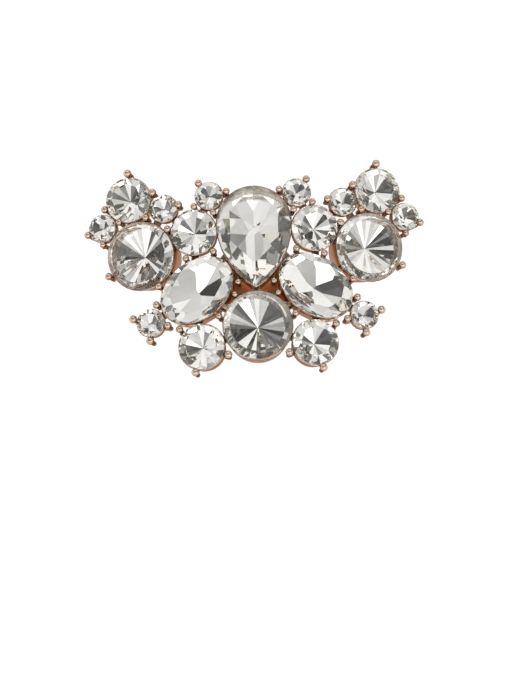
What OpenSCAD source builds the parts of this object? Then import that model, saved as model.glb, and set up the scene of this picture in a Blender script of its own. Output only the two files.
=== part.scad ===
// Shoe clip: a cast setting that holds twenty cut glass stones in claws, with a plain bent strip on its
// back that slides over the edge of a shoe. It lies on the strip with the stones up. X runs along its
// length, the pear stone stands on the Y axis with its tip towards -Y, and Z = 0 is the strip's underside.

/* [Layout] */
// Radius of the dome that the rims of the stones lie on
dome_r = 95; // [90:1:120]
// Height of the dome's top above the surface that the clip lies on
rim_z = 11; // [10.6:0.1:12]
// Place of the middle of the whole outline in the tables below, along Y
middle_y = 0.575; // [0:0.025:1]

/* [Stones] */
// Height of the upright band between the upper and the lower facets of a stone
girdle_t = 0.3; // [0.2:0.05:0.4]
// Width of the small flat that ends the point under a stone
point_flat = 0.1; // [0.05:0.01:0.2]

/* [Setting] */
// How far a cup's rim stands out past its stone
rim_out = 0.1; // [0.05:0.01:0.2]
// Clear space between a stone and the metal
stone_gap = 0.12; // [0.08:0.01:0.15]
// How far a cup's rim lies below the top of its stone's upright band
rim_drop = 0.6; // [0.5:0.05:0.8]
// How far a cup's wall leans in from its rim to its back, per millimetre of depth
draft = 0.09; // [0.07:0.01:0.12]
// Thickness of the floor that closes a cup at the back
floor_t = 0.6; // [0.5:0.1:1]
// Width of the space inside a cup, as a share of the stone's width
bore_share = 0.82; // [0.7:0.02:0.84]
// Width of the hole in a cup's floor, as a share of the stone's width
hole_share = 0.4; // [0.3:0.05:0.5]
// Width of the bars that join neighbouring cups
bar_w = 1.3; // [1.1:0.1:2]
// Width of the arms that carry the claws
arm_w = 0.8; // [0.7:0.1:1]
// Widest space between two stones that a bar spans
bar_span = 1.3; // [1.25:0.05:1.4]
// How far the tops of the bars and arms lie below the dome
bar_top = 1.4; // [1.2:0.1:1.6]
// How far the undersides of the bars and arms lie below the dome
bar_bottom = 2.4; // [2.2:0.1:2.5]

/* [Claws] */
// Height of the middle of a claw's ball above the dome
ball_lift = 0.55; // [0.4:0.05:0.7]
// Thickness of a claw's post, as a share of its ball
post_share = 0.62; // [0.5:0.02:0.7]
// How far a claw's post runs down below the dome
post_depth = 2.3; // [2:0.1:2.35]

/* [Strip] */
// Width of the bent strip
strip_w = 10; // [9:0.5:12]
// Length of the strip from its bend to its open mouth
strip_l = 20; // [16:0.5:24]
// Thickness of the strip
strip_t = 0.8; // [0.6:0.1:1]
// Place of the strip's middle in the tables below, along Y
strip_y = -1.5; // [-3:0.5:0]
// Radius of the strip's corners
strip_corner = 2; // [1:0.5:3]
// Gap between the strip and the backs of the cups that it is fixed to
strip_gap = 0.05; // [0.02:0.01:0.1]

/* [Hidden] */
// cut, length, width, height of the table, depth of the point, depth of the cup, sides of the upright band
CUTS = [
  ["pear",   18,  13,  1.5, 6.8, 6.95, 48],
  ["oval",   14,  10,  1.4, 5.6, 5.95, 40],
  ["large",  12,  12,  1.3, 5.3, 6.95, 32],
  ["medium", 8,   8,   1.2, 3.6, 3.9,  32],
  ["small",  4.8, 4.8, 0.8, 2.3, 2.5,  16],
];

// cut, facets in the ring, turn of the first one in steps, height of the point on the axis that they aim at
FACETS = [
  ["pear", 6, 0, -6.8], ["pear", 12, 0.5, -7.2], ["pear", 24, 0.5, -8.4],
  ["pear", 8, 0, 4.2], ["pear", 16, 0.5, 5.5],
  ["oval", 4, 0.5, -5.6], ["oval", 8, 0, -5.9], ["oval", 16, 0.5, -6.6],
  ["oval", 8, 0.5, 4.6], ["oval", 16, 0.5, 6.0],
  ["large", 16, 0, -5.3], ["large", 16, 0.5, -5.31], ["large", 16, 0.5, 6.6],
  ["large", 16, 0, 6.61],
  ["medium", 8, 0, -3.6], ["medium", 16, 0, -3.6], ["medium", 16, 0.5, -4.3],
  ["medium", 8, 0.5, 3.1], ["medium", 16, 0.5, 4.1],
  ["small", 8, 0, -2.3], ["small", 8, 0.5, -2.5], ["small", 8, 0.5, 2.0],
];

// name, x, y, cut, turn, lean outwards beyond the dome's, nod towards -Y
MIDDLE = [
  ["pear_stone",   0, 8.65, "pear",  0, 0, 0],
  ["bottom_stone", 0, -9.7, "large", 0, 0, 0],
];
PAIRS = [
  ["side_stone",  20.1, 3.85,   "large",  0,   3, 6],
  ["oval_stone",  10.4, -2.95,  "oval",   -37, 0, 0],
  ["crest_stone", 22.0, 14.15,  "medium", 0,   0, 0],
  ["mid_stone",   10.6, 7.35,   "medium", 0,   0, 3],
  ["foot_stone",  9.9,  -13.05, "medium", 0,   2, 0],
  ["ear_stone",   7.7,  13.8,   "small",  0,   0, 0],
  ["inner_stone", 15.8, 12.05,  "small",  0,   0, 0],
  ["wing_stone",  26.8, 9.5,    "small",  0,   0, 0],
  ["tail_stone",  18.7, -8.25,  "small",  0,   0, 0],
];

// x, y, width of the ball
CLAWS = [
  [21.8,  18.8,  1.4], [17.5,  14.9,  1.4], [13.0,  12.35,  1.3], [18.8,  10.5,   1.3], [26.0, 12.65,  1.3],
  [23.5,  10.1,  1.2], [29.1,  8.4,   1.3], [26.45, 6.35,   1.2], [25.6,  0.55,   1.3], [16.8, -2.05,  1.3],
  [15.05, 8.1,   1.3], [9.4,   15.95, 1.3], [4.6,   14.25,  1.2], [10.3,  11.85,  1.2], [7.0,  10.55,  1.2],
  [7.2,   3.55,  1.2], [12.0,  2.6,   1.2], [3.1,   -2.1,   1.1], [3.75,  -4.25,  1.1], [6.6,  -8.0,   1.2],
  [17.4,  -5.3,  1.3], [21.5,  -7.5,  1.4], [15.5,  -9.1,   1.3], [18.65, -11.55, 1.4], [13.5, -9.9,   1.3],
  [5.25, -14.85, 1.4], [11.0, -17.65, 1.4],
];

// The stones of a pair are named after their side
SIDES = [["_right", 1], ["_left", -1]];
PAIR_NODES = [for (row = PAIRS, side = SIDES) str(row[0], side[0])];

// Edge of the blocks that cut the flats, wider than any stone
block = 60;
// How far a cutting shape runs past what it cuts
past = 1;

function cut_row(cut) = CUTS[search([cut], CUTS)[0]];
function length_of(cut) = cut_row(cut)[1];
function width_of(cut) = cut_row(cut)[2];
function table_z(cut) = cut_row(cut)[3];
function point_z(cut) = -cut_row(cut)[4];
function cup_depth(cut) = cut_row(cut)[5];
function sides_of(cut) = cut_row(cut)[6];

// The dome
function dome_z(x) = rim_z - dome_r + sqrt(dome_r * dome_r - x * x);
function dome_lean(x) = asin(x / dome_r);

// The flanks of a pear stone are two arcs that leave its round head without a corner and meet at its tip
function tip_reach(cut) = length_of(cut) - width_of(cut) / 2;
function flank_r(cut) = (pow(tip_reach(cut), 2) + pow(width_of(cut) / 2, 2)) / width_of(cut);

// How far an outline reaches from its middle in one direction, to the straight edge laid against it
function pear_reach(cut, turn) =
  let (r = width_of(cut) / 2, flank = flank_r(cut), below = atan2(-sin(turn), abs(cos(turn))))
  sin(turn) >= 0 ? r
  : below <= asin(tip_reach(cut) / flank) ? flank - (flank - r) * abs(cos(turn))
  : -tip_reach(cut) * sin(turn);
function oval_reach(cut, turn) = norm([length_of(cut) / 2 * cos(turn), width_of(cut) / 2 * sin(turn)]);
function reach(cut, turn) = cut == "pear" ? pear_reach(cut, turn) : oval_reach(cut, turn);

// The corner between two straight edges laid against an outline, the second one a step further round
function corner(cut, turn, step, grow) =
  let (a = reach(cut, turn) + grow, b = reach(cut, turn + step) + grow, s = sin(step))
  [(a * sin(turn + step) - b * sin(turn)) / s, (b * cos(turn) - a * cos(turn + step)) / s];
function outline(cut, grow = 0) =
  let (n = sides_of(cut), step = 360 / n)
  [for (i = [0 : n - 1]) corner(cut, i * step, step, grow)];

// Everything below one flat cut. The cut touches the outline in the given direction, at height z, and its
// plane meets the stone's axis at aim: above the stone for the upper facets, and below it for the lower ones.
module below_cut(turn, out, z, aim) {
  rise = atan2(abs(aim - z), out);
  rotate([0, 0, turn])
    translate([out, 0, z])
      rotate([0, aim > z ? rise : 180 - rise, 0])
        translate([-block / 2, -block / 2, -block])
          cube(block);
}

// One ring of facets. Its row is in FACETS, and grow makes the ring wider all round.
module facet_ring(row, grow = 0) {
  cut = row[0];
  intersection_for (i = [0 : row[1] - 1]) {
    turn = (i + row[2]) * 360 / row[1];
    below_cut(turn, reach(cut, turn) + grow, row[3] > 0 ? 0 : -girdle_t, row[3]);
  }
}

module stone(cut) {
  bottom = point_z(cut) * (1 - point_flat / width_of(cut));
  intersection() {
    translate([0, 0, bottom])
      linear_extrude(table_z(cut) - bottom) polygon(outline(cut));
    intersection_for (row = [for (f = FACETS) if (f[0] == cut) f]) facet_ring(row);
  }
}

// The space that the metal leaves for a stone: its outline and its first lower and upper rings of
// facets, all a gap wider
module stone_space(cut) {
  rings = [for (f = FACETS) if (f[0] == cut) f];
  intersection() {
    translate([0, 0, -cup_depth(cut)])
      linear_extrude(cup_depth(cut) + table_z(cut) + past) polygon(outline(cut, stone_gap));
    facet_ring([for (f = rings) if (f[3] < 0) f][0], stone_gap);
    facet_ring([for (f = rings) if (f[3] > 0) f][0], stone_gap);
  }
}

// The space inside a cup, up to the stone, and the hole in its floor
module bore_space(cut) {
  deep = cup_depth(cut);
  translate([0, 0, floor_t - deep])
    linear_extrude(deep - floor_t + point_z(cut) * (1 - bore_share))
      scale(bore_share) polygon(outline(cut));
  translate([0, 0, -deep - past])
    cylinder(h = deep, r = hole_share * width_of(cut) / 2, $fn = 48);
}

// A cup before it is hollowed: a cone for a round stone, and leaning flats for any other
module cup_body(cut) {
  top = -rim_drop;
  deep = cup_depth(cut);
  if (length_of(cut) == width_of(cut)) {
    r = width_of(cut) / 2 + rim_out;
    translate([0, 0, -deep])
      cylinder(h = deep + top, r1 = r - draft * deep, r2 = r, $fn = 96);
  } else {
    step = 360 / sides_of(cut);
    intersection() {
      translate([0, 0, -deep])
        linear_extrude(deep + top) polygon(outline(cut, rim_out + past));
      intersection_for (i = [0 : sides_of(cut) - 1]) {
        out = reach(cut, i * step) + rim_out;
        below_cut(i * step, out, top, top - out / draft);
      }
    }
  }
}

// Moves the tables' layout so that the middle of the whole outline is at Y = 0
module centred() {
  translate([0, -middle_y, 0]) children();
}

module mirrored() {
  children();
  mirror([1, 0, 0]) children();
}

// Puts a stone, or the cup made for it, on the dome
module place(row) {
  translate([row[1], row[2], dome_z(row[1])])
    rotate([row[6], dome_lean(row[1]) + row[5], 0])
      rotate([0, 0, row[4]])
        children();
}

// A stone's place on the dome, its outline's reach towards a point, and the space from there to the point
function on_dome(x, y) = [x, y, dome_z(x)];
function spot(row) = on_dome(row[1], row[2]);
function reach_to(row, point) = reach(row[3], atan2(point[1] - row[2], point[0] - row[1]) - row[4]);
function space_to(row, point) = norm(point - spot(row)) - reach_to(row, point);

// A bar below the rims, from one point on the dome to another. It may run into the cups, because what it
// leaves inside them is cut away with their hollows.
module bar(from, to, width) {
  way = to - from;
  translate(from)
    rotate([0, -asin(way[2] / norm(way)), atan2(way[1], way[0])])
      translate([0, -width / 2, -bar_bottom])
        cube([norm(way), width, bar_bottom - bar_top]);
}

// The bars between the middle stones and one half's pairs of stones, wherever two stones are close enough
module bars() {
  rows = concat(MIDDLE, PAIRS);
  for (i = [0 : len(rows) - 2], j = [max(i + 1, len(MIDDLE)) : len(rows) - 1])
    if (space_to(rows[i], spot(rows[j])) - reach_to(rows[j], spot(rows[i])) < bar_span)
      bar(spot(rows[i]), spot(rows[j]), bar_w);
}

// A claw: an arm out of the nearest cup, a round post and a ball on top
module claw(row) {
  rows = concat(MIDDLE, PAIRS);
  foot = on_dome(row[0], row[1]);
  spaces = [for (stone = rows) space_to(stone, foot)];
  bar(foot, spot(rows[search(min(spaces), spaces)[0]]), arm_w);
  translate(foot)
    rotate([0, dome_lean(row[0]), 0]) {
      translate([0, 0, ball_lift])
        sphere(r = row[2] / 2, $fn = 48);
      translate([0, 0, -post_depth])
        cylinder(h = post_depth + ball_lift, r = post_share * row[2] / 2, $fn = 32);
    }
}

module setting() {
  color("rosybrown") centred()
    difference() {
      union() {
        for (row = MIDDLE) place(row) cup_body(row[3]);
        mirrored() for (row = PAIRS) place(row) cup_body(row[3]);
        mirrored() for (row = CLAWS) claw(row);
        bar(spot(MIDDLE[0]), spot(MIDDLE[1]), bar_w);
        mirrored() bars();
      }
      for (row = MIDDLE) place(row) { stone_space(row[3]); bore_space(row[3]); }
      mirrored() for (row = PAIRS) place(row) { stone_space(row[3]); bore_space(row[3]); }
    }
}

// Height of the strip's top, just below the backs of the pear and the bottom stones' cups
function back_z() = rim_z - cup_depth("pear") - strip_gap;
function bend_r() = back_z() / 2;

// The strip from the side: a flat under the cups, a half-round bend at its +Y end and a flat tongue below
module strip_profile() {
  straight = strip_l - bend_r();
  difference() {
    union() {
      translate([-straight, 0]) square([straight, back_z()]);
      translate([0, bend_r()]) circle(r = bend_r(), $fn = 64);
    }
    translate([-straight - past, strip_t]) square([straight + past, back_z() - 2 * strip_t]);
    translate([0, bend_r()]) circle(r = bend_r() - strip_t, $fn = 64);
  }
}

// The strip from above, as a block that rounds its corners at the open mouth
module strip_outline() {
  mouth_y = strip_y - strip_l / 2;
  translate([-strip_w / 2, mouth_y + strip_corner, -past])
    cube([strip_w, strip_l, rim_z]);
  translate([strip_corner - strip_w / 2, mouth_y, -past])
    cube([strip_w - 2 * strip_corner, strip_l, rim_z]);
  mirrored()
    translate([strip_w / 2 - strip_corner, mouth_y + strip_corner, -past])
      cylinder(h = rim_z, r = strip_corner, $fn = 48);
}

module shoe_clip() {
  color("peru") centred()
    intersection() {
      translate([-strip_w / 2, strip_y + strip_l / 2 - bend_r(), 0])
        rotate([90, 0, 90])
          linear_extrude(strip_w) strip_profile();
      strip_outline();
    }
}

module cut_stone(row, side = 1) {
  color("gainsboro") centred()
    mirror([(1 - side) / 2, 0, 0]) place(row) stone(row[3]);
}

setting();
shoe_clip();
for (row = MIDDLE)
  cut_stone(row);
for (row = PAIRS, side = SIDES)
  cut_stone(row, side[1]);
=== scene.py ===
# %% [markdown]
# # A shoe clip with cut stones
#
# The clip is one cast setting in rose gold, twenty cut glass stones held in it by claws, and a bent strip
# behind that slips over the edge of a shoe. The CAD frame already has every stone facet by facet, every
# cup and claw, and the strip. This notebook gives them their finishes, adds the fine metalwork that is
# too small for the frame, and lights the clip as jewellery is lit.

from math import atan, cos, pi, radians, sin

import bpy
from mathutils import Matrix, Vector


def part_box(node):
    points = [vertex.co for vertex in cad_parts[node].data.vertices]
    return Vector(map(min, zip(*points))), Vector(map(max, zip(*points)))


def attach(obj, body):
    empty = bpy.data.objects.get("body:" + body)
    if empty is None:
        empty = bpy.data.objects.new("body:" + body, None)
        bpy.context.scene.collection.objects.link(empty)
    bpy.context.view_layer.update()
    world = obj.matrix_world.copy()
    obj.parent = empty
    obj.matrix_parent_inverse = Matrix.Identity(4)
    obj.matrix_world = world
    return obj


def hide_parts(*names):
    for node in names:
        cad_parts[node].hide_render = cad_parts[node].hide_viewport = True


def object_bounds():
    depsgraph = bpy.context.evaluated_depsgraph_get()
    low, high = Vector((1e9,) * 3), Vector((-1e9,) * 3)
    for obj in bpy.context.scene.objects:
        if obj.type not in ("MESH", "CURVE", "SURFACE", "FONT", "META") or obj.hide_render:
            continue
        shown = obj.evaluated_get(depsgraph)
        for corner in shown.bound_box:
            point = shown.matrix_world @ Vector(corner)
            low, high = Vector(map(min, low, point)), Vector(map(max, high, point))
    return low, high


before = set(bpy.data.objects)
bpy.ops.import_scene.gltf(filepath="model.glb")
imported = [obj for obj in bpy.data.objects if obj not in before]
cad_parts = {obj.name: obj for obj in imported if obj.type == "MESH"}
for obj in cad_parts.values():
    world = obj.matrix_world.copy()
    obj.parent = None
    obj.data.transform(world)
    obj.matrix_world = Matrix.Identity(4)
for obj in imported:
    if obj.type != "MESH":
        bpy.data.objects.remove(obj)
cad_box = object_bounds()
MM = 0.001


def in_mm(box):
    """The two corners of a box in millimetres, for printing."""
    return [[round(value / MM, 2) for value in corner] for corner in box]


print("CAD box in mm:", in_mm(cad_box))

# %% [markdown]
# ## The stones and the dome
#
# Such stones are pressed in a few cuts, and each cut comes in many sizes. The finishes and the metalwork
# below only need to know which cut a stone has, because the rest is measured on the stones themselves.
#
# The rims of the cups lie on a wide dome. It is bent along X alone, like a barrel, so the height of a rim
# follows from how far out it sits. Both numbers of the dome are the ones in the CAD source.

# %% The stones and the dome
DOME_RADIUS = 95 * MM
DOME_TOP = 11 * MM
CUT_OF = {
    "pear_stone": "pear", "oval_stone": "oval", "bottom_stone": "large", "side_stone": "large",
    "crest_stone": "medium", "mid_stone": "medium", "foot_stone": "medium",
    "ear_stone": "small", "inner_stone": "small", "wing_stone": "small", "tail_stone": "small",
}
STONES = sorted(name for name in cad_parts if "stone" in name)


def cut_of(name):
    """The cut of a stone, which is the same on the left and on the right."""
    return CUT_OF[name.removesuffix("_left").removesuffix("_right")]


print(len(STONES), "stones:", {name: cut_of(name) for name in STONES})

# %% [markdown]
# ## The camera
#
# The photograph looks down on the clip from 77 degrees above the table it lies on, a little from the side
# of the drop's tip, so the walls of the lower cups just show. The clip is turned by two degrees in the
# picture. The camera is rolled by that much, instead of turning the clip, because the frame's pieces stay
# where they are. The lens follows from the picture's scale, which the widths of the stones give.

# %% The camera
PHOTO_WIDTH, PHOTO_HEIGHT = 516, 688
PIXELS_PER_MM = 5.75
MIDDLE_PX = Vector((255.7, 270.0))
CAMERA_ELEVATION = radians(77)
CAMERA_ROLL = radians(2.25)
CAMERA_DISTANCE = 0.42
LOOKED_AT = Vector((0, -0.575 * MM, DOME_TOP))
SENSOR_MM = 36
NEAREST = 0.01

focal_px = PIXELS_PER_MM * CAMERA_DISTANCE / MM
back = Vector((0, -cos(CAMERA_ELEVATION), sin(CAMERA_ELEVATION)))
right = Vector((1, 0, 0))
upright = Matrix((right, back.cross(right), back)).transposed()
yaw = atan((MIDDLE_PX.x - PHOTO_WIDTH / 2) / focal_px)
pitch = atan((PHOTO_HEIGHT / 2 - MIDDLE_PX.y) / focal_px)
turned = upright @ Matrix.Rotation(-CAMERA_ROLL, 3, "Z") @ Matrix.Rotation(yaw, 3, "Y")
turned = turned @ Matrix.Rotation(-pitch, 3, "X")

camera = bpy.data.objects.new("camera", bpy.data.cameras.new("camera"))
bpy.context.collection.objects.link(camera)
camera.data.sensor_width = SENSOR_MM
camera.data.lens = SENSOR_MM * focal_px / PHOTO_HEIGHT
camera.data.clip_start = NEAREST
camera.matrix_world = Matrix.Translation(LOOKED_AT + back * CAMERA_DISTANCE) @ turned.to_4x4()
bpy.context.scene.camera = camera
print("lens:", round(camera.data.lens, 1), "mm, at", [round(value, 3) for value in camera.location])

# %% [markdown]
# ## Shader maths as Python
#
# A material that varies is a sum of small masks, and a dozen Math nodes hide what such a sum says. The
# class Wire wraps a socket, and its operators add the nodes, so a mask reads as the formula it is.

# %% Wires
class Wire:
    """The output of a node, which can stand in a Python expression."""

    def __init__(self, shader, socket):
        self.shader, self.socket = shader, socket

    def maths(self, operation, first, second):
        return self.shader.node("ShaderNodeMath", {"operation": operation}, {0: first, 1: second})

    def __add__(self, other):
        return self.maths("ADD", self, other)

    def __radd__(self, other):
        return self.maths("ADD", other, self)

    def __sub__(self, other):
        return self.maths("SUBTRACT", self, other)

    def __rsub__(self, other):
        return self.maths("SUBTRACT", other, self)

    def __mul__(self, other):
        return self.maths("MULTIPLY", self, other)

    def __rmul__(self, other):
        return self.maths("MULTIPLY", other, self)

    def __truediv__(self, other):
        return self.maths("DIVIDE", self, other)

    def __lt__(self, other):
        return self.maths("LESS_THAN", self, other)


print("operators on wires: + - * / <")

# %% [markdown]
# ## A shader and its nodes
#
# A Shader holds the nodes of one material. Its `node` makes any node: the settings are set first, and
# then the sockets take values or wires. The other methods are the few nodes that every finish below
# needs, each under a name that says what it does to a surface.

# %% A shader and its nodes
NOISE_ROUGHNESS = 0.55


class Shader:
    """The nodes of a material, or of the world. They start empty but for the output."""

    def __init__(self, owner, output="ShaderNodeOutputMaterial"):
        owner.use_nodes = True
        self.owner, self.tree = owner, owner.node_tree
        self.tree.nodes.clear()
        self.output = self.tree.nodes.new(output)

    def node(self, kind, settings=None, sockets=None, output=0):
        """Adds a node, and gives the wire that leaves it at the output of that number or name."""
        new = self.tree.nodes.new(kind)
        for key, value in (settings or {}).items():
            setattr(new, key, value)
        for key, value in (sockets or {}).items():
            if isinstance(value, Wire):
                self.tree.links.new(value.socket, new.inputs[key])
            else:
                new.inputs[key].default_value = value
        return Wire(self, new.outputs[output])

    def place(self):
        """Where a point lies, in metres in the clip's own frame."""
        return self.node("ShaderNodeTexCoord", output="Object")

    def noise(self, scale, detail=3.0):
        """A cloudy value round 0.5. The scale counts waves per metre."""
        sockets = {
            "Vector": self.place(), "Scale": scale, "Detail": detail, "Roughness": NOISE_ROUGHNESS,
        }
        return self.node("ShaderNodeTexNoise", None, sockets)

    def span(self, value, low, high):
        """0 where the value is low and 1 where it is high, with a soft step between them."""
        sockets = {"Value": value, "From Min": low, "From Max": high}
        return self.node("ShaderNodeMapRange", {"interpolation_type": "SMOOTHSTEP"}, sockets)

    def colours(self, share, first, second):
        """The first colour where share is 0, and the second where it is 1."""
        sockets = {0: share, 6: first, 7: second}
        return self.node("ShaderNodeMix", {"data_type": "RGBA"}, sockets, output=2)

    def vectors(self, operation, first, second=(0.0, 0.0, 0.0), output="Vector"):
        """Vector maths on two vectors, which may be wires or plain numbers."""
        sockets = {0: first, 1: second}
        return self.node("ShaderNodeVectorMath", {"operation": operation}, sockets, output)

    def bump(self, height, distance, strength=1.0):
        """A normal that follows a height from 0 to 1, which stands for this distance."""
        sockets = {"Height": height, "Distance": distance, "Strength": strength}
        return self.node("ShaderNodeBump", None, sockets)

    def surface(self, finish):
        """Leads the finish to the output, and gives the material or the world it belongs to."""
        self.tree.links.new(finish.socket, self.output.inputs["Surface"])
        return self.owner


def new_shader(name):
    """A new material, still without a surface."""
    return Shader(bpy.data.materials.new(name))


def colour(red, green, blue):
    """An opaque colour, with its parts from 0 to 1."""
    return (red, green, blue, 1.0)


print("shader helpers ready")

# %% [markdown]
# ## Height over the dome
#
# Foil and plating change with the height over the rims of the cups: a ball stands above them, a seam lies
# a millimetre below, and a wall goes on down. The rims lie on the dome, so the formula takes off how far
# the dome has dropped at that point. A parabola is close enough to the circle over so short a reach.

# %% Height over the dome
def height_over_dome(shader):
    """How far a point lies above the dome, in metres."""
    x = shader.node("ShaderNodeSeparateXYZ", None, {0: shader.place()})
    z = Wire(shader, x.socket.node.outputs["Z"])
    return z - DOME_TOP + x * x / (2 * DOME_RADIUS)


reach = cad_box[1][0]
print("drop of the dome at the wings' tips:", round(reach * reach / (2 * DOME_RADIUS) / MM, 2), "mm")

# %% [markdown]
# ## Where the foil is thin
#
# The lower facets of such stones carry a mirror foil. On the large rounds and the drop it hardly reaches
# one side. Each row of THIN_FOIL gives a circle of good foil, set off the middle of the stone's round
# head. Outside that circle, and still on the stone, the foil counts as thin.

# %% Where the foil is thin
THIN_FOIL = [  # in mm: stone, radius of its head, the good foil's offset along X and Y, and its radius
    ("side_stone_right", 6.0, -0.95, -0.1, 4.75),
    ("side_stone_left", 6.0, 0.95, -0.1, 4.75),
    ("bottom_stone", 6.0, -0.55, -0.55, 5.0),
    ("pear_stone", 6.5, 0.0, -2.6, 6.6),
]
FOIL_FADES_MM = 0.5
HEAD_MARGIN_MM = 0.08


def thin_foil(shader):
    """1 on the side of a stone that the foil hardly reaches, and 0 everywhere else."""
    flat = shader.vectors("MULTIPLY", shader.place(), (1.0, 1.0, 0.0))
    covered = 1
    for name, head, aside, along, good in THIN_FOIL:
        low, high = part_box(name)
        middle = Vector(((low.x + high.x) / 2, high.y - head * MM, 0))
        good_middle = middle + Vector((aside, along, 0)) * MM
        from_stone = shader.vectors("DISTANCE", flat, middle, "Value")
        from_good = shader.vectors("DISTANCE", flat, good_middle, "Value")
        on_stone = from_stone < (head + HEAD_MARGIN_MM) * MM
        here = on_stone * shader.span(from_good, good * MM, (good + FOIL_FADES_MM) * MM)
        covered = covered * (1 - here)
    return 1 - covered


print("thin foil on", [row[0] for row in THIN_FOIL])

# %% [markdown]
# ## The tilts of the facets
#
# An exact mirror behind each lower facet would break the light into far smaller chips than a moulded
# stone shows. So the mirrors' normals are flattened, and each facet also gets a small tilt of its own.
# The tilt comes from a noise on the true normal. That normal is the same all over one facet, so every
# facet stays one clean patch. The drop and the ovals, the large rounds and the smaller rounds come from
# different moulds, so each of these groups gets other tilts.

# %% The tilts of the facets
FOIL_LEAN = 0.27
FACET_PLAY = 0.45
TILT_SCALE = 4.0


def foil_normal(shader, normal, mould):
    """The flattened and tilted normal. Each mould has its own tilts, and None is one mould more."""
    settings, sockets = {}, {"Vector": normal, "Scale": TILT_SCALE, "Detail": 0.0}
    if mould is not None:
        settings["noise_dimensions"], sockets["W"] = "4D", mould
    tilt = shader.node("ShaderNodeTexNoise", settings, sockets, "Color")
    tilt = shader.vectors("SUBTRACT", tilt, (0.5, 0.5, 0.5))
    tilt = shader.vectors("MULTIPLY", tilt, (FACET_PLAY, FACET_PLAY, 0.0))
    flattened = shader.vectors("MULTIPLY", normal, (FOIL_LEAN, FOIL_LEAN, 1.0))
    return shader.vectors("NORMALIZE", shader.vectors("ADD", flattened, tilt))


print("a facet tilts sideways by up to", FACET_PLAY / 2)

# %% [markdown]
# ## Cut glass on foil
#
# The stones are moulded and polished glass. Light goes in through the table, bounces off the foil and
# comes out again as flat patches of black, grey and white. A glass shader on its own would let that light
# out at the back. Here each facet that looks down is a metal mirror and each other facet is clear glass.
# What a facet faces is read from its true normal, turned round where the ray meets it from inside. Close
# under the rim the silver of the foil is a little warmer.
#
# Where the foil is thin it is streaky too, and a dull colour shows instead of silver: tan on the wings,
# where the cup's warm metal comes through, and grey in the middle. On that side the upright band round
# the edge counts as foiled too, because on the real stone the wall of the cup shows through it.

# %% Cut glass on foil
GLASS_INDEX = 1.54
FOILED_BELOW = -0.45
BAND_SHOWS = 0.60
FOIL_SILVER = colour(0.96, 0.945, 0.91)
FOIL_WARM = colour(0.92, 0.88, 0.80)
FOIL_SPOTS = colour(0.70, 0.63, 0.55)
FOIL_GREY = colour(0.42, 0.41, 0.34)
FOIL_TAN = colour(0.34, 0.25, 0.19)
WARM_FROM, WARM_TO = -1.1 * MM, -0.4 * MM
WINGS_FROM, WINGS_TO = 8 * MM, 12 * MM
RIPPLES, CLOUDS, STREAKS = 260.0, 900.0, 2200.0  # waves per metre
RIPPLE_DEPTH = 0.004 * MM


def cut_glass(name, mould):
    """Clear glass, with a mirror on the facets that look down."""
    shader = new_shader(name)
    normal = shader.node("ShaderNodeNewGeometry", output="True Normal")
    inside = Wire(shader, normal.socket.node.outputs["Backfacing"])
    facing = shader.node("ShaderNodeSeparateXYZ", None, {0: normal}, output="Z")
    thin = thin_foil(shader)
    foiled = facing * (1 - 2 * inside) < FOILED_BELOW + BAND_SHOWS * thin

    clear = shader.node("ShaderNodeBsdfPrincipled", None, {
        "Base Color": colour(1, 1, 1), "Roughness": 0.0, "IOR": GLASS_INDEX,
        "Transmission Weight": 1.0, "Normal": shader.bump(shader.noise(RIPPLES, 1.0), RIPPLE_DEPTH),
    })

    warm = shader.span(height_over_dome(shader), WARM_FROM, WARM_TO)
    silver = shader.colours(warm, FOIL_SILVER, FOIL_WARM)
    x = shader.node("ShaderNodeSeparateXYZ", None, {0: shader.place()})
    wings = shader.span(x * x, WINGS_FROM**2, WINGS_TO**2)
    streaks = shader.span(shader.noise(STREAKS), 0.40, 0.62)
    worn = shader.colours(streaks, FOIL_SPOTS, shader.colours(wings, FOIL_GREY, FOIL_TAN))
    cloud = shader.span(shader.noise(CLOUDS), 0.45, 0.75)
    foil = shader.node("ShaderNodeBsdfPrincipled", None, {
        "Base Color": shader.colours(thin, silver, worn), "Metallic": 1.0,
        "Roughness": 0.01 + 0.03 * cloud + 0.30 * thin,
        "Normal": foil_normal(shader, normal, mould),
    })
    return shader.surface(shader.node("ShaderNodeMixShader", None, {0: foiled, 1: clear, 2: foil}))


print("foil on facets whose normal's Z is below", FOILED_BELOW)

# %% The glass on the stones
LARGE_MOULD, SMALL_MOULD = 8.5, 2.7

wide_glass = cut_glass("wide_glass", None)
large_glass = cut_glass("large_glass", LARGE_MOULD)
small_glass = cut_glass("small_glass", SMALL_MOULD)
GLASS_OF = {
    "pear": wide_glass, "oval": wide_glass, "large": large_glass,
    "medium": small_glass, "small": small_glass,
}
for name in STONES:
    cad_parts[name].material_slots[0].material = GLASS_OF[cut_of(name)]
print("cut glass on", len(STONES), "stones")

# %% [markdown]
# ## Rose-gold plating
#
# The setting is a zinc casting, tumbled and plated with rose gold. Tumbling rubs what stands out, so the
# crowns of the claws' balls are polished. Under the crowns the balls and their necks carry a painted
# shade of dark brown, and a line of painted shadow runs under the lips of the cups. The walls below are a
# duller gold that turns to a darker bronze further down. The height over the dome says which of these a
# point is. In the pockets on both sides of the drop's tip a red copper colour is painted, which stands
# for the light that bounces between their walls. Gold looks darker where it turns away, which the edge
# tint gives. Fine pits of the casting and a soft cloudiness break up the reflections.

# %% The tones of the plating
ROSE_GOLD = colour(0.86, 0.68, 0.54)
WORN_GOLD = colour(0.76, 0.54, 0.40)
WALL_GOLD = colour(0.85, 0.70, 0.60)
BRONZE = colour(0.68, 0.53, 0.43)
# Painted shade: the dark brown of the balls under their crowns, of the necks and of the line under the
# lips.
PAINTED_SHADE_BROWN = colour(0.27, 0.16, 0.105)
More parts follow.
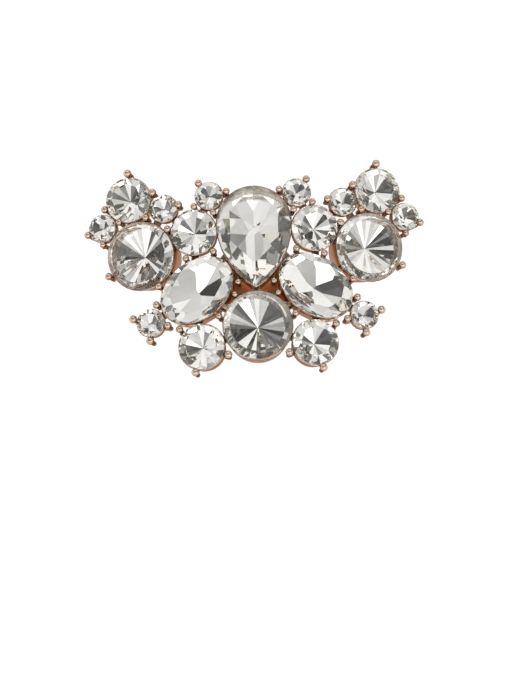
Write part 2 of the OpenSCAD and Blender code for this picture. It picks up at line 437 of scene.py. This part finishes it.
# Painted bounce light: the red copper colour of the deep pockets, for the light that bounces between
# their walls.
PAINTED_BOUNCE_COPPER = colour(0.96, 0.60, 0.37)
EDGE_TINT = colour(0.26, 0.12, 0.06)

# Heights over the dome between which one tone passes into the next.
CROWNS = (0.66 * MM, 1.04 * MM)
NECKS = (-0.3 * MM, -0.05 * MM)
LIPS = (-1.4 * MM, -0.7 * MM)
# The painted shadow line under the lips of the cups lies between these two pairs of heights.
SEAM_SHADOW_ENDS = (-1.15 * MM, -1.0 * MM)
SEAM_SHADOW_STARTS = (-1.45 * MM, -1.30 * MM)
BRONZE_STARTS = (-3.4 * MM, -1.9 * MM)
POCKETS_END = (-2.6 * MM, -1.2 * MM)

POCKETS_MIDDLE = (0, -3.4 * MM, DOME_TOP - 5 * MM)
POCKETS_FADE = (4.6 * MM, 6.2 * MM)
DULL_PATCHES, PITS = 500.0, 5200.0  # waves per metre
PIT_DEPTH = 0.004 * MM
print("the crowns are bright from", round(CROWNS[1] / MM, 2), "mm over the dome")

# %% Rose-gold plating
def rose_gold():
    """The plating, with painted shade on the necks and under the lips and painted bounce light in the
    pockets.
    """
    shader = new_shader("rose_gold")
    height = height_over_dome(shader)
    crowns = shader.span(height, *CROWNS)
    over_lips = shader.span(height, *NECKS)
    lips = shader.span(height, *LIPS) * (1 - over_lips)
    polished = lips + crowns

    # Painted shadow: a dark brown line just under the lips of the cups.
    seam_shadow = shader.span(height, *SEAM_SHADOW_STARTS) * (1 - shader.span(height, *SEAM_SHADOW_ENDS))
    walls = shader.colours(shader.span(height, *BRONZE_STARTS), WALL_GOLD, BRONZE)
    walls = shader.colours(seam_shadow, walls, PAINTED_SHADE_BROWN)
    cloud = shader.span(shader.noise(DULL_PATCHES, 4.0), 0.4, 0.7)
    gold = shader.colours(crowns, walls, shader.colours(cloud, ROSE_GOLD, WORN_GOLD))
    # Painted shade: the balls below their crowns and the necks turn dark brown.
    gold = shader.colours(over_lips * (1 - crowns), gold, PAINTED_SHADE_BROWN)

    # Painted bounce light: the deep pockets beside the drop's tip are painted a red copper colour.
    from_pockets = shader.vectors("DISTANCE", shader.place(), POCKETS_MIDDLE, "Value")
    deep = 1 - shader.span(height, *POCKETS_END)
    pocket_bounce = deep * (1 - shader.span(from_pockets, *POCKETS_FADE))
    pits = shader.span(shader.noise(PITS, 2.0), 0.30, 0.42)
    return shader.surface(shader.node("ShaderNodeBsdfPrincipled", None, {
        "Base Color": shader.colours(pocket_bounce, gold, PAINTED_BOUNCE_COPPER), "Metallic": 1.0,
        "Roughness": 0.30 - 0.20 * polished + 0.05 * cloud, "Specular Tint": EDGE_TINT,
        "Normal": shader.bump(pits, PIT_DEPTH, 0.5),
    }))


plating = rose_gold()
print("rose gold mixed, with", len(plating.node_tree.nodes), "nodes")

# %% [markdown]
# ## Tools for modelling
#
# Operators act on what is selected, so one helper selects exactly the objects it is given. New metalwork
# starts from a copy of a CAD mesh, because the frame's own meshes stay as they are. In such a copy every
# flat has its own corner points, and they are merged before anything else.

# %% Tools for modelling
MERGE_WITHIN = 0.001 * MM


def only(objects):
    """Selects these objects alone, and makes the first one active."""
    bpy.ops.object.select_all(action="DESELECT")
    for each in objects:
        each.select_set(True)
    bpy.context.view_layer.objects.active = objects[0]


def opened_copy(node, name):
    """A copy of a CAD node without a finish, open in edit mode, selected, and with its points merged."""
    piece = bpy.data.objects.new(name, node.data.copy())
    bpy.context.collection.objects.link(piece)
    piece.data.materials.clear()
    only([piece])
    bpy.ops.object.mode_set(mode="EDIT")
    bpy.ops.mesh.select_all(action="SELECT")
    bpy.ops.mesh.remove_doubles(threshold=MERGE_WITHIN)
    return piece


print("modelling tools ready")

# %% [markdown]
# ## The casting
#
# The CAD frame's setting has the right shape, but its balls and cups are made of flat triangles, and
# polished metal shows each of them. A copy with its points merged can be shaded smooth. Only edges
# sharper than thirty degrees stay sharp, which are the mouths and the feet of the cups. The copy then
# stands for the CAD node, and the node gets the same plating.

# %% The casting
SHARP_ABOVE = radians(30)

casting = opened_copy(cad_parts["setting"], "casting")
bpy.ops.object.mode_set(mode="OBJECT")
casting.data.materials.append(plating)
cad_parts["setting"].material_slots[0].material = plating
bpy.ops.object.shade_smooth_by_angle(angle=SHARP_ABOVE)
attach(casting, "root")
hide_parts("setting")
print("the casting has", len(casting.data.polygons), "faces")

# %% [markdown]
# ## The strip's finish
#
# The strip behind is rolled sheet, copper-plated. Rolling leaves fine lines along it, so the noise that
# makes the lines is stretched along Y.

# %% The strip's finish
LINES_PER_METRE = (9000.0, 350.0, 9000.0)
PALE_COPPER = colour(0.96, 0.62, 0.40)
RED_COPPER = colour(0.88, 0.50, 0.29)
TINT_PATCHES = 300.0
LINE_DEPTH = 0.008 * MM


def rolled_copper():
    """Copper-plated sheet with the fine lines of rolling."""
    shader = new_shader("rolled_copper")
    stretch = {"Vector": shader.place(), "Scale": LINES_PER_METRE}
    stretched = shader.node("ShaderNodeMapping", None, stretch)
    along_strip = {"Vector": stretched, "Scale": 1.0, "Detail": 2.0}
    lines = shader.node("ShaderNodeTexNoise", None, along_strip)
    return shader.surface(shader.node("ShaderNodeBsdfPrincipled", None, {
        "Base Color": shader.colours(shader.noise(TINT_PATCHES), PALE_COPPER, RED_COPPER),
        "Metallic": 1.0, "Roughness": 0.24 + 0.16 * lines,
        "Normal": shader.bump(lines, LINE_DEPTH),
    }))


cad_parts["shoe_clip"].material_slots[0].material = rolled_copper()
print("rolled copper on the strip")

# %% [markdown]
# ## How a stone faces
#
# The metal of a cup follows its stone, and the outer stones lean out on the dome. How a stone faces is
# measured on the stone itself: its table is its largest flat.

# %% How a stone faces
def stone_axis(mesh):
    """The way a stone faces, and a point on its table."""
    flats = {}
    for face in mesh.polygons:
        flats.setdefault(tuple(round(value, 2) for value in face.normal), []).append(face)
    table = max(flats.values(), key=lambda faces: sum(face.area for face in faces))
    return table[0].normal.copy(), table[0].center.copy()


for name in ("bottom_stone", "side_stone_right"):
    print(name, "faces", [round(value, 2) for value in stone_axis(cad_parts[name].data)[0]])

# %% [markdown]
# ## The rims of the cups
#
# Each cup ends in a thin rounded lip that frames its stone. It shows as a fine bright line round the
# stone. The lip has to follow the stone exactly, round, oval or drop, so it is made from the stone
# itself. A copy is cut through at the upright band round its edge, only the cut's outline is kept, and
# that outline is lowered a little and given the thickness of a wire.

# %% The rims of the cups
TABLE_OVER_BAND = {
    "pear": 1.5 * MM, "oval": 1.4 * MM, "large": 1.3 * MM, "medium": 1.2 * MM, "small": 0.8 * MM,
}
BAND = 0.3 * MM
RIM_WIRE = 0.15 * MM
RIM_DROP = 0.52 * MM
WIRE_ROUNDNESS = 3


def rim_of(name):
    """The lip round one stone."""
    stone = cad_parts[name]
    axis, table = stone_axis(stone.data)
    band_middle = table - axis * (TABLE_OVER_BAND[cut_of(name)] + BAND / 2)
    opened_copy(stone, "rim_of_" + name)
    bpy.ops.mesh.bisect(plane_co=band_middle, plane_no=axis, clear_inner=True, clear_outer=True)
    bpy.ops.mesh.select_all(action="SELECT")
    bpy.ops.transform.translate(value=-axis * (RIM_DROP - BAND / 2))
    bpy.ops.object.mode_set(mode="OBJECT")
    bpy.ops.object.convert(target="CURVE")
    rim = bpy.context.object
    rim.data.bevel_depth = RIM_WIRE
    rim.data.bevel_resolution = WIRE_ROUNDNESS
    bpy.ops.object.convert(target="MESH")
    rim = bpy.context.object
    rim.data.materials.append(plating)
    bpy.ops.object.shade_smooth()
    return rim


rims = [rim_of(name) for name in STONES]
only(rims)
bpy.ops.object.join()
rims = bpy.context.object
rims.name = rims.data.name = "cup_rims"
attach(rims, "root")
print("rims of the cups:", len(rims.data.polygons), "faces")

# %% [markdown]
# ## The table
#
# Jewellery is photographed on a light table, so the ground is white and the shadow is faint. The floor
# here glows a little for that reason.

# %% The table
TABLE_SIZE = 4.0
TABLE_GREY = colour(0.32, 0.32, 0.32)
TABLE_GLOW = 0.88


def light_table():
    """A dull grey sheet that glows nearly white."""
    shader = new_shader("light_table")
    return shader.surface(shader.node("ShaderNodeBsdfPrincipled", None, {
        "Base Color": TABLE_GREY, "Roughness": 0.9, "Specular IOR Level": 0.1,
        "Emission Color": colour(1, 1, 1), "Emission Strength": TABLE_GLOW,
    }))


bpy.ops.mesh.primitive_plane_add(size=TABLE_SIZE, location=(0, 0, 0))
floor = bpy.context.object
floor.name = "light_table"
floor.data.materials.append(light_table())
print("the table is", floor.dimensions.x, "m wide")

# %% [markdown]
# ## The sky of the studio
#
# Round the clip stands a bright wall. It is lit in patches, so that two neighbouring facets seldom mirror
# the same grey, and it is dark near the ground. Round panels hang on it, and each row of PANELS gives one
# panel's direction, size and brightness. The bright ones are soft boxes, two of them with a brighter
# core. The dark ones are flags, which are black cards that give the stones something dark to mirror. The
# stones need the flags as much as the boxes: without them every facet would be white. The bright cores
# also put the sparks on the claws' balls.

# %% The panels
PANELS = [  # name, turn from the camera's side towards +X, elevation, half angle, softness, brightness
    ("back", 166, 42, 18, 4, 1.02),
    ("key_left", -40, 50, 14, 4, 1.07),
    ("key_right", 32, 49, 14, 4, 1.08),
    ("side_right", 70, 51, 7, 3, 1.05),
    ("strip_right", 119, 38, 6, 3, 1.00),
    ("flag_right", 135, 26, 14, 3, 0.04),
    ("low_right", 100, 27, 9, 3, 0.08),
    ("gap_right", 92, 57, 10, 4, 0.14),
    ("flag_left", 262, 46, 16, 4, 0.06),
    ("high_left", 288, 64, 11, 4, 0.14),
    ("low_left", 225, 36, 12, 4, 0.14),
    ("gap_front", -4, 62, 8, 3, 0.20),
    ("ceiling", 188, 78, 17, 5, 0.09),
    ("core_left", -40, 50, 7, 3, 2.2),
    ("core_right", 32, 49, 7, 3, 2.0),
    ("side_left", 234, 51, 6, 3, 1.05),
    ("gap_key", 27, 69, 6, 3, 0.14),
    ("gap_high", 103, 74, 5, 3, 0.12),
    ("top_box", -20, 76, 5, 2, 1.2),
]


def direction(turn, elevation):
    """The way to a panel, from its two angles in degrees."""
    turn, elevation = radians(turn), radians(elevation)
    return Vector((cos(elevation) * sin(turn), -cos(elevation) * cos(turn), sin(elevation)))


print("panels in the studio:", [row[0] for row in PANELS])

# %% The sky of the studio
WALLS = (0.68, 0.95)
PATCH_SCALE = 3.2
PATCH_EDGES = (0.38, 0.62)
DARK_BELOW = (0.02, 0.30)
DARKEST = 0.12


def studio():
    """The world: the wall first, then each panel over what is there already."""
    world = bpy.data.worlds.new("studio")
    bpy.context.scene.world = world
    sky = Shader(world, "ShaderNodeOutputWorld")
    towards = sky.node("ShaderNodeTexCoord", output="Generated")
    all_round = {"Vector": towards, "Scale": PATCH_SCALE, "Detail": 1.0}
    cloudy = sky.node("ShaderNodeTexNoise", None, all_round)
    light = WALLS[0] + (WALLS[1] - WALLS[0]) * sky.span(cloudy, *PATCH_EDGES)
    for name, turn, elevation, half_angle, softness, brightness in PANELS:
        nearness = sky.vectors("DOT_PRODUCT", towards, direction(turn, elevation), "Value")
        edges = [cos(radians(half_angle + side * softness)) for side in (1, -1)]
        inside = sky.span(nearness, *edges)
        light = light * (1 - inside) + brightness * inside
    height = sky.node("ShaderNodeSeparateXYZ", None, {0: towards}, output="Z")
    light = light * (DARKEST + (1 - DARKEST) * sky.span(height, *DARK_BELOW))
    return sky.surface(sky.node("ShaderNodeBackground", None, {"Color": light, "Strength": 1.0}))


world = studio()
print("nodes in the sky:", len(world.node_tree.nodes))

# %% [markdown]
# ## The key lamp
#
# The sky alone gives hardly any shadow. A round lamp above the clip, to the right of the camera, gives
# the faint soft shadow of a light tent. A disc that glows evenly sends out pi times its brightness from
# each square metre, which gives the lamp's watts.

# %% The key lamp
LAMP_DISTANCE = 0.6
LAMP_RADIUS = 0.16
LAMP_BRIGHTNESS = 0.6
TOWARDS_LAMP = direction(40, 52)

lamp = bpy.data.lights.new("key_lamp", "AREA")
lamp.shape = "DISK"
lamp.size = 2 * LAMP_RADIUS
lamp.energy = LAMP_BRIGHTNESS * pi * pi * LAMP_RADIUS**2
key_lamp = bpy.data.objects.new("key_lamp", lamp)
bpy.context.collection.objects.link(key_lamp)
key_lamp.location = LOOKED_AT + TOWARDS_LAMP * LAMP_DISTANCE
key_lamp.rotation_euler = TOWARDS_LAMP.to_track_quat("Z", "Y").to_euler()
print("key lamp:", round(lamp.energy, 2), "W")

# %% [markdown]
# ## The render's own settings
#
# A ray that enters a stone bounces many times before it leaves, so it gets a generous number of bounces.
# The Standard view keeps white as white.

# %% The render's own settings
BOUNCES = 18
MIRROR_BOUNCES = 14

scene = bpy.context.scene
scene.view_settings.view_transform = "Standard"
scene.cycles.max_bounces = BOUNCES
scene.cycles.transmission_bounces = BOUNCES
scene.cycles.glossy_bounces = MIRROR_BOUNCES
scene.cycles.use_denoising = True
print("bounces:", scene.cycles.max_bounces)
